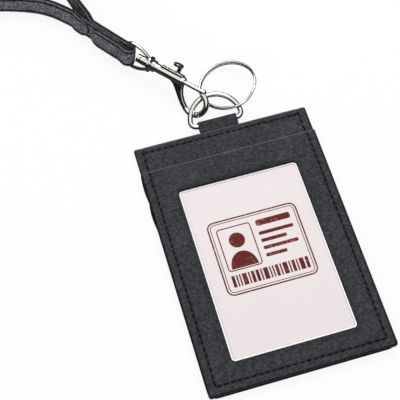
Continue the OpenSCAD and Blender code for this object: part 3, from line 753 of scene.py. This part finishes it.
def cutList(low, high, seamsAt):
    count = round((high - low) / (walletSet["grid"] * milli))
    width = walletSet["grooveWidth"] * milli
    fine = [at + width * s for at in seamsAt for s in walletSet["grooveCuts"]]
    cuts = [low + (high - low) * i / count for i in range(1, count)]
    clear = width * walletSet["grooveClear"]
    return sorted([c for c in cuts if all(abs(c - f) > clear for f in fine)] + fine)


# The distance outside a window with round corners
def windowDistance(p, window):
    radius = walletSet["windowRound"] * milli
    x = abs(p.x - (window[0] + window[2]) / 2) - (window[2] - window[0]) / 2 + radius
    y = abs(p.y - (window[1] + window[3]) / 2) - (window[3] - window[1]) / 2 + radius
    return math.hypot(max(x, 0), max(y, 0)) + min(max(x, y), 0) - radius


# How dark a point is near a sheet's edges: black edge paint, with painted shade at the right edge, which is
# darkest, and at and beside the window's cut, darker above the window; and how much painted highlight its
# mouth and a slot's lower edge get
def edgePaintShadeHighlight(p, low, high, inner, window, slot):
    edge = min(p.x - low.x, high.x - p.x, p.y - low.y, high.y - p.y)
    dark, paintedHighlight = 0.0, 0.0
    side = edgeSet["side"] * milli
    if high.y - edgeSet["mouth"] * milli < p.y < high.y - touching and inner > edgeSet["mouthDepth"]:
        paintedHighlight = edgeSet["mouthHighlight"]
    elif high.x - p.x < side:
        dark = 1.0
    elif edge < side:
        dark = edgeSet["sideDark"]
    if slot and edge < touching and p.y < low.y + touching:
        dark, paintedHighlight = 0.0, edgeSet["slotHighlight"]
    if window:
        cut = windowDistance(p, window)
        beside = edgeSet["besideTopShade"] if p.y > window[3] else edgeSet["besideShade"]
        if cut < edgeSet["beside"] * milli:
            dark = max(dark, 1.0 if cut < edgeSet["cut"] * milli else beside)
    return dark, paintedHighlight


def leatherSheet(name, node, low, high, seams, side, corners, leather, window=None, bulge=None):
    thick = high.z - low.z
    bm = bmesh.new()
    paintShadeHighlight = bm.verts.layers.float_vector.new("paintShadeHighlight")
    outline = [(low.x, low.y), (high.x, low.y), (high.x, high.y), (low.x, high.y)]
    verts = [bm.verts.new((x, y, low.z)) for x, y in outline]
    bm.faces.new(verts)
    for vert, radius in zip(verts, corners):
        roundOff(bm, [vert], radius, 6, "VERTICES")
    border = walletSet["border"] * milli
    for axis, farBorder in ((0, walletSet["shadeBorder"] * milli), (1, border)):
        cuts = cutList(low[axis], high[axis],
                       sorted({round(p[axis], 6) for s in seams for p in s if s[0][axis] == s[1][axis]}))
        if window:
            ends = [window[axis], window[axis + 2]]
            clear = (walletSet["windowRound"] + walletSet["windowClear"]) * milli
            cuts = [c for c in cuts if min(abs(c - end) for end in ends) > clear] + ends
        normal = Vector((1 - axis, axis, 0))
        for cut in cuts + [low[axis] + border, high[axis] - farBorder]:
            bmesh.ops.bisect_plane(bm, geom=bm.verts[:] + bm.edges[:] + bm.faces[:], plane_co=normal * cut,
                                   plane_no=normal, dist=mergeDist)
    if window:
        hole = [f for f in bm.faces if window[0] < f.calc_center_median().x < window[2]
                and window[1] < f.calc_center_median().y < window[3]]
        bmesh.ops.delete(bm, geom=hole, context="FACES")
    thicken(bm, thick, low.z)
    if window:
        posts = [e for e in bm.edges if abs(e.verts[0].co.z - e.verts[1].co.z) > thick / 2
                 and min(abs(e.verts[0].co.x - x) for x in window[::2]) < touching
                 and min(abs(e.verts[0].co.y - y) for y in window[1::2]) < touching]
        roundOff(bm, posts, walletSet["windowRound"], 4)
    rim = [e for e in squareEdges(bm) if abs(e.verts[0].co.z - e.verts[1].co.z) < sameLevel]
    roundOff(bm, rim, min(walletSet["edgeRound"], thick / milli * walletSet["roundShare"]), 3)
    shown = high.z if side > 0 else low.z
    waveSize, waveFrom = walletSet["waveSize"] * milli, shown * walletSet["waveApart"]
    bulgeIn = walletSet["bulgeIn"] * milli
    for vert in bm.verts:
        p = vert.co
        wave = noise.noise(Vector((p.x / waveSize, p.y / waveSize, waveFrom))) * walletSet["wave"]
        inner = 1.0 - smoothStep(abs(p.z - shown) / thick)
        gap = seamDistance(p.x, p.y, seams) / milli
        dip = math.exp(-(gap / walletSet["grooveWidth"]) ** 2) * walletSet["grooveDepth"]
        # Painted shade along the stitch grooves
        line = math.exp(-(gap / walletSet["seamLine"]) ** 2) * walletSet["seamShade"]
        # Black edge paint, painted shade at the right edge and by the window's cut, and a painted highlight
        # on the mouth and on a slot's lower edge
        dark, paintedHighlight = edgePaintShadeHighlight(p, low, high, inner, window, bulge)
        vert[paintShadeHighlight] = (max(line, dark), paintedHighlight, 0)
        p.z -= side * inner * (abs(wave) + dip) * milli
        if bulge and p.x < low.x + bulgeIn:
            reach = (p.y - bulge[0]) / (bulge[1] - bulge[0])
            if 0 < reach < 1:
                p.x -= bulge[2] * math.sin(math.pi * reach) * (1 - (p.x - low.x) / bulgeIn)
    obj = makePiece(bm, name, leather)
    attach(obj, "wallet")
    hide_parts(node)


def sewSeams(name, seams, level, side):
    bm = bmesh.new()
    slant = turnBy(walletSet["slant"], "Z", 3)
    height = level - side * (walletSet["grooveDepth"] - walletSet["proud"]) * milli
    for (ax, ay), (bx, by) in seams:
        way = Vector((bx - ax, by - ay, 0))
        count = max(1, int(way.length / (walletSet["pitch"] * milli)))
        step = way.length / count
        way.normalize()
        for i in range(count):
            at = Vector((ax, ay, height)) + way * step * (i + 0.5)
            addStitch(bm, at, slant @ way, slant @ up.cross(way), up, walletSet["stitch"], 0)
    obj = makePiece(bm, name, waxedThread, turnOut=False)
    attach(obj, "wallet")


hemSet = {"wide": 4.4, "inset": 0.12, "round": 0.1}


# The strip between the leathers that makes the pocket: two sides and the bottom
def makeHem(low, high):
    inset, wide = hemSet["inset"] * milli, hemSet["wide"] * milli
    x0, x1, y0, y1 = low.x + inset, high.x - inset, low.y + inset, high.y - inset
    outline = [(x0, y0), (x1, y0), (x1, y1), (x1 - wide, y1), (x1 - wide, y0 + wide), (x0 + wide, y0 + wide),
               (x0 + wide, y1), (x0, y1)]
    bm = bmesh.new()
    bm.faces.new([bm.verts.new((x, y, low.z)) for x, y in outline])
    bm.normal_update()
    thicken(bm, high.z - low.z, low.z)
    roundOff(bm, squareEdges(bm), hemSet["round"], 2)
    obj = makePiece(bm, "pocketHem", boardCore)
    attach(obj, "wallet")


# The window in the front leather, inside the film's lap
def windowBox():
    low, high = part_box("window_film")
    lap = walletSet["filmLap"] * milli
    return low[0] + lap, low[1] + lap, high[0] - lap, high[1] - lap


def makeWallet():
    frontLow, frontHigh = map(Vector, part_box("front_panel"))
    bodyLow, bodyHigh = map(Vector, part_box("body_panel"))
    backLow, backHigh = map(Vector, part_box("back_panel"))
    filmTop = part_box("window_film")[1][2]
    inset = walletSet["seamInset"] * milli
    left, right, bottom = bodyLow.x + inset, bodyHigh.x - inset, bodyLow.y + inset
    top, mouth = bodyHigh.y - walletSet["topSeam"] * milli, frontHigh.y
    round4, mouthRound = [walletSet["corner"]] * 4, [walletSet["mouthCorner"]] * 2

    def pocketSeams(start):
        return [((left, start), (left, bottom)), ((left, bottom), (right, bottom)),
                ((right, bottom), (right, start))]

    def sideSeams(start, end):
        return [((x, start), (x, end)) for x in (left, right)]

    topSeam = ((left, top), (right, top))
    frontSeams = pocketSeams(mouth)
    leatherSheet("frontLeather", "front_panel", Vector((frontLow.x, frontLow.y, filmTop)), frontHigh,
                 frontSeams, 1, round4[:2] + mouthRound, walletLeather, window=windowBox())
    makeHem(Vector((frontLow.x, frontLow.y, bodyHigh.z)), Vector((frontHigh.x, mouth, filmTop)))
    sewSeams("frontStitches", frontSeams, frontHigh.z, 1)
    sewnFrom = walletSet["sewnFrom"] * milli
    bodySeams = sideSeams(mouth + walletSet["grooveFrom"] * milli, bodyHigh.y) + [topSeam]
    first, last = sideSeams(mouth + sewnFrom, bodyHigh.y - walletSet["sewnTo"] * milli)
    leatherSheet("bodyLeather", "body_panel", bodyLow, bodyHigh, bodySeams, 1, round4, walletLeather)
    sewSeams("bodyStitches", [first, topSeam, last], bodyHigh.z, 1)
    leatherSheet("backLeather", "back_panel", backLow, backHigh, bodySeams, -1, round4, liningLeather)
    sewSeams("backStitches", [first, topSeam, last], backLow.z, -1)
    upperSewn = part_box("card_slot_lower")[1][1] + sewnFrom
    for node, name in (("card_slot_upper", "upperSlot"), ("card_slot_lower", "lowerSlot")):
        low, high = map(Vector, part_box(node))
        seams = pocketSeams(high.y)
        bulge = (high.y - walletSet["bulges"][name] * milli, high.y + walletSet["bulgeOver"] * milli,
                 walletSet["bulgeOut"] * milli)
        high.z = low.z + walletSet["slotThick"] * milli
        leatherSheet(name, node, low, high, seams, -1, [walletSet["slotCorner"]] * 2 + mouthRound,
                     walletLeather, bulge=bulge)
        if node == "card_slot_lower":
            sewSeams("slotStitches", seams, low.z, -1)
        else:
            seams = sideSeams(upperSewn, high.y - walletSet["slotSewnTo"] * milli)
            sewSeams("upperSlotStitches", seams, low.z, -1)


makeWallet()

weldSet = {"wide": 0.6, "tall": 0.55, "low": 0.15, "round": 0.1, "seat": 0.01}


# The film is welded to its leather along the window: a pale line inside the window's edge, lower at
# the top, where the cut edge of the leather shows above it
def makeWeld():
    left, bottom, right, top = windowBox()
    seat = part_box("window_film")[1][2] + weldSet["seat"] * milli
    bm = bmesh.new()
    corners = ((left, bottom), (right, bottom), (right, top), (left, top))
    verts = [bm.verts.new((x, y, seat)) for x, y in corners]
    bm.faces.new(verts)
    roundOff(bm, verts, walletSet["windowRound"], 6, "VERTICES")
    cutFrame(bm, bm.faces[:][0], weldSet["wide"])
    thicken(bm, weldSet["tall"] * milli, seat)
    crown = max(v.co.z for v in bm.verts) - sameLevel
    rim = [e for e in squareEdges(bm) if min(v.co.z for v in e.verts) > crown]
    for vert in bm.verts:
        if vert.co.z > crown and vert.co.y > (bottom + top) / 2:
            vert.co.z -= (weldSet["tall"] - weldSet["low"]) * milli
    roundOff(bm, rim, weldSet["round"], 2)
    obj = makePiece(bm, "filmWeld", paleWeld)
    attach(obj, "wallet")


makeWeld()
print("wallet leathers ready")


# The snap's and the eye's own frames, as the construction turns them
hookSet = {"pitch": 2.0, "heading": -49.3, "roll": 43.0, "eyeRoll": 76.0}
snapTurn = turnBy(hookSet["heading"], "Z") @ turnBy(-hookSet["pitch"], "Y")
hookTurn = snapTurn @ turnBy(180 + hookSet["roll"], "X")
eyeTurn = snapTurn @ turnBy(hookSet["eyeRoll"], "X")
# Softened copies of construction solids, with edges rounded as leather or a casting rounds them: node,
# voxel, rounds of smoothing, frame, body and slot. The remesh's grid runs along the piece's own frame.
softSet = {
    "tabLoop": ("d_ring_tab", 0.13, 4, Matrix(), "wallet", "leather"),
    "snapCasting": ("snap_body", 0.095, 6, hookTurn, "snap", "metal"),
    "thumbKnob": ("snap_knob", 0.08, 4, hookTurn, "bolt", "metal"),
    "swivelPin": ("swivel_post", 0.08, 3, snapTurn, "snap", "metal"),
    "eyeCasting": ("swivel_eye", 0.09, 3, eyeTurn, "eye", "metal"),
}


def softCopy(name, material):
    node, voxel, rounds, turn, body, slotName = softSet[name]
    bm = joinedSolid(node)
    bmesh.ops.transform(bm, matrix=turn.inverted(), verts=bm.verts)
    mesh = bpy.data.meshes.new(name)
    bm.to_mesh(mesh)
    bm.free()
    obj = addObject(name, mesh)
    remesh = obj.modifiers.new("remesh", "REMESH")
    remesh.mode = "VOXEL"
    remesh.voxel_size = voxel * milli
    soften = obj.modifiers.new("soften", "SMOOTH")
    soften.factor = 0.5
    soften.iterations = rounds
    done = bpy.data.meshes.new_from_object(obj.evaluated_get(bpy.context.evaluated_depsgraph_get()))
    obj.modifiers.clear()
    done.transform(turn)
    done.materials.clear()
    done.materials.append(material)
    done.shade_smooth()
    obj.data = done
    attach(obj, body)
    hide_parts(node)


softCopy("tabLoop", walletLeather)
for casting in ("snapCasting", "thumbKnob", "swivelPin", "eyeCasting"):
    softCopy(casting, nickel)


# The bolt's spring: its construction solid joined into one mesh and carried on the snap; the bolt's slide is
# read but not used
def makeSpring():
    bm = joinedSolid("snap_spring")
    slide = joints["bolt_slide"]
    way = Vector(slide["axis"]).normalized()
    obj = makePiece(bm, "closingSpring", springSteel, sharpAngle=60)
    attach(obj, "snap")
    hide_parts("snap_spring")
    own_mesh(obj)


makeSpring()
print("castings ready")

# The split ring: two turns of wire with the step where one turn passes to the other
ringSet = {"diameter": 24.4, "wire": 1.0, "gap": 0.06, "tilt": (-9.0, -11.3), "step": 50.0,
           "start": 20.0, "sides": 12, "rings": 260, "flat": 0.96, "endShare": 0.72, "endGrowth": 0.07}


def makeSplitRing():
    low, high = map(Vector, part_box("split_ring"))
    centre = (low + high) / 2
    rise = (ringSet["wire"] + ringSet["gap"]) * milli
    sweep = 720 - ringSet["step"] - ringSet["start"]
    turn = turnBy(ringSet["tilt"][1], "Y", 3) @ turnBy(ringSet["tilt"][0], "X", 3)
    radius, wire = ringSet["diameter"] * milli / 2, ringSet["wire"] * milli / 2

    def heightAt(a):
        if a < 360 - ringSet["step"]:
            return 0.0
        if a > 360:
            return rise
        return rise * (1 - math.cos(math.pi * (a - 360 + ringSet["step"]) / ringSet["step"])) / 2

    bm = bmesh.new()
    rings = []
    for i in range(ringSet["rings"] + 1):
        a = sweep * i / ringSet["rings"]
        spin = math.radians(a - ringSet["start"])
        share = min(1.0, ringSet["endShare"] + ringSet["endGrowth"] * min(i, ringSet["rings"] - i))
        ring = []
        for j in range(ringSet["sides"]):
            b = 2 * math.pi * j / ringSet["sides"]
            r = radius + wire * share * math.cos(b) * ringSet["flat"]
            z = heightAt(a) - rise / 2 - wire * share * math.sin(b)
            ring.append(bm.verts.new(centre + turn @ Vector((r * math.cos(spin), r * math.sin(spin), z))))
        rings.append(ring)
    for a, b in zip(rings, rings[1:]):
        for j in range(ringSet["sides"]):
            k = (j + 1) % ringSet["sides"]
            bm.faces.new((a[j], b[j], b[k], a[k]))
    bm.faces.new(list(reversed(rings[0])))
    bm.faces.new(rings[-1])
    obj = makePiece(bm, "keyRing", nickel)
    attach(obj, "split_ring")
    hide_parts("split_ring")


makeSplitRing()

# The card's generic print: a double frame with a plain figure, bars for lines and stripes
printSet = {"lift": 0.012, "thick": 0.018, "centre": (0, 6.2), "barRound": 0.3,
            "frames": [(0, 0, 38, 33, 0.6, 3.0), (0, 0, 35.6, 30.6, 0.3, 2.0),
                       (-8.6, 3.2, 14.4, 19.2, 0.45, 1.4)],
            "head": (-8.6, 6.4, 3.3), "shoulders": (-8.6, -5.6, 5.6, 7.0),
            "bars": [(8.1, 11.3, 14.6, 2.7), (8.1, 6.6, 14.6, 1.5), (6.2, 3.3, 10.8, 1.5),
                     (8.1, 0.0, 14.6, 1.5), (5.2, -3.3, 8.8, 1.5)],
            "stripes": {"y": -10.7, "tall": 5.0, "first": -15.6, "gap": 0.62,
                        "wide": [1.3, 0.6, 0.6, 1.9, 0.6, 1.3, 1.3, 0.6, 1.9, 0.6, 0.6, 1.3, 0.6, 1.9, 0.6,
                                 1.3, 0.6, 1.9, 1.3]}}


def flatBlock(bm, x, y, wide, tall, radius=0.0):
    verts = [bm.verts.new(mm(x + sx * wide / 2, y + sy * tall / 2, 0))
             for sx, sy in ((-1, -1), (1, -1), (1, 1), (-1, 1))]
    face = bm.faces.new(verts)
    if radius:
        made = roundOff(bm, verts, radius, 5, "VERTICES")
        face = [f for f in bm.faces if f.is_valid and made["verts"][0] in f.verts][0]
    return face


def makePrint():
    low, high = map(Vector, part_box("id_card"))
    bm = bmesh.new()
    for x, y, wide, tall, line, radius in printSet["frames"]:
        cutFrame(bm, flatBlock(bm, x, y, wide, tall, radius), line)
    x, y, radius = printSet["head"]
    bmesh.ops.create_circle(bm, cap_ends=True, segments=40, radius=radius * milli,
                            matrix=Matrix.Translation(mm(x, y, 0)))
    x, y, wide, tall = printSet["shoulders"]
    stretch = Matrix.Translation(mm(x, y, 0)) @ Matrix.Diagonal((wide, tall, 1, 1))
    made = bmesh.ops.create_circle(bm, cap_ends=True, segments=48, radius=milli, matrix=stretch)
    verts = made["verts"]
    faces = list({f for v in verts for f in v.link_faces})
    edges = list({e for v in verts for e in v.link_edges})
    bmesh.ops.bisect_plane(bm, geom=verts + edges + faces, plane_co=mm(0, y, 0), plane_no=(0, -1, 0),
                           clear_outer=True, dist=mergeDist)
    for x, y, wide, tall in printSet["bars"]:
        flatBlock(bm, x, y, wide, tall, tall * printSet["barRound"])
    stripes = printSet["stripes"]
    at = stripes["first"]
    for wide in stripes["wide"]:
        flatBlock(bm, at + wide / 2, stripes["y"], wide, stripes["tall"])
        at += wide + stripes["gap"]
    bm.normal_update()
    thicken(bm, printSet["thick"] * milli, high.z + printSet["lift"] * milli)
    x, y = printSet["centre"]
    middle = Vector(((low.x + high.x) / 2, (low.y + high.y) / 2, 0)) + mm(x, y, 0)
    bmesh.ops.translate(bm, vec=middle, verts=bm.verts)
    obj = makePiece(bm, "cardPrint", stampInk)
    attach(obj, "card")


makePrint()
print("card print ready")

# The finish of each construction solid
nodeFinishes = (
    (cardStock, ("id_card",)), (clearFilm, ("window_film",)), (springSteel, ("snap_spring",)),
    (bandRubber, ("coil_tie",)),
    (nickel, ("d_ring", "split_ring", "snap_body", "snap_bolt", "snap_knob", "swivel_post", "swivel_eye")),
    (walletLeather, ("front_panel", "body_panel", "card_slot_upper", "card_slot_lower", "d_ring_tab")),
    (liningLeather, ("back_panel", "strap_end_fold", "strap_end_ply", "strap_strand_a", "strap_strand_b",
                     "strap_coil")),
)
for material, nodes in nodeFinishes:
    for node in nodes:
        materials = frame["nodes"][node].data.materials
        materials.clear()
        materials.append(material)

# Studio: a white floor that keeps a faint shadow, a soft key from above and behind, a fill from the
# left front that metal doesn't mirror, and a round dark wall that only reflections see
stageSet = {"floor": 3.0, "floorDrop": 0.05, "floorColor": 0.9, "floorGlow": 0.88, "floorMirrored": 0.05,
            "ambient": 0.5, "aim": (0, 0.05, 0),
            "key": {"at": (0.16, 0.42, 0.62), "size": 0.5, "power": 3.0},
            "fill": {"at": (-0.42, -0.3, 0.36), "size": 0.45, "power": 1.15},
            "wall": {"at": (-0.02, 0.05), "radius": 0.5, "top": 0.42, "color": (0.01, 0.01, 0.012, 1)}}


def seenWhite(tree, *kinds):
    path = addNode(tree, "ShaderNodeLightPath")
    seen = path.outputs["Is Camera Ray"]
    for kind in kinds:
        seen = mathNode(tree, "ADD", seen, path.outputs[kind], True)
    return seen


def makeFloor():
    material, tree = newMaterial("whiteFloor")
    mirrored = addNode(tree, "ShaderNodeLightPath").outputs["Is Glossy Ray"]
    level = rangeNode(tree, mirrored, 0.0, 1.0, stageSet["floorColor"], stageSet["floorMirrored"])
    plain = addNode(tree, "ShaderNodeBsdfDiffuse", {"Color": level})
    glow = addNode(tree, "ShaderNodeEmission", {"Color": (1, 1, 1, 1), "Strength": 1.0})
    share = mathNode(tree, "MULTIPLY", seenWhite(tree, "Is Transmission Ray"), stageSet["floorGlow"])
    mix = addNode(tree, "ShaderNodeMixShader", {0: share, 1: plain.outputs[0], 2: glow.outputs[0]})
    addNode(tree, "ShaderNodeOutputMaterial", {0: mix.outputs[0]})
    bm = bmesh.new()
    bmesh.ops.create_grid(bm, x_segments=1, y_segments=1, size=stageSet["floor"],
                          matrix=Matrix.Translation(mm(0, 0, -stageSet["floorDrop"])))
    makePiece(bm, "floor", material, turnOut=False)


def makeWall():
    wall = stageSet["wall"]
    material, tree = newMaterial("darkWall")
    dull = addNode(tree, "ShaderNodeBsdfDiffuse", {"Color": wall["color"]})
    addNode(tree, "ShaderNodeOutputMaterial", {0: dull.outputs[0]})
    bm = bmesh.new()
    bmesh.ops.create_cone(bm, cap_ends=False, segments=48, radius1=wall["radius"], radius2=wall["radius"],
                          depth=wall["top"], matrix=Matrix.Translation((*wall["at"], wall["top"] / 2)))
    obj = makePiece(bm, "darkWall", material, turnOut=False)
    obj.visible_camera = False
    obj.visible_diffuse = False
    obj.visible_shadow = False


def makeSky():
    world = bpy.data.worlds.new("studioWorld")
    world.use_nodes = True
    scene.world = world
    tree = world.node_tree
    tree.nodes.clear()
    seen = seenWhite(tree, "Is Glossy Ray", "Is Transmission Ray")
    level = rangeNode(tree, seen, 0.0, 1.0, stageSet["ambient"], 1.0)
    sky = addNode(tree, "ShaderNodeBackground", {"Color": (1, 1, 1, 1), "Strength": level})
    addNode(tree, "ShaderNodeOutputWorld", {0: sky.outputs[0]})


def makeLamp(name):
    lamp = stageSet[name]
    data = bpy.data.lights.new(name + "Light", "AREA")
    data.shape = "DISK"
    data.size = lamp["size"]
    data.energy = lamp["power"]
    obj = bpy.data.objects.new(name + "Light", data)
    obj.location = lamp["at"]
    aim = Vector(stageSet["aim"]) - Vector(lamp["at"])
    obj.rotation_euler = aim.to_track_quat("-Z", "Y").to_euler()
    obj.visible_glossy = name == "key"
    scene.collection.objects.link(obj)


makeFloor()
makeWall()
makeSky()
makeLamp("key")
makeLamp("fill")
print("studio ready")
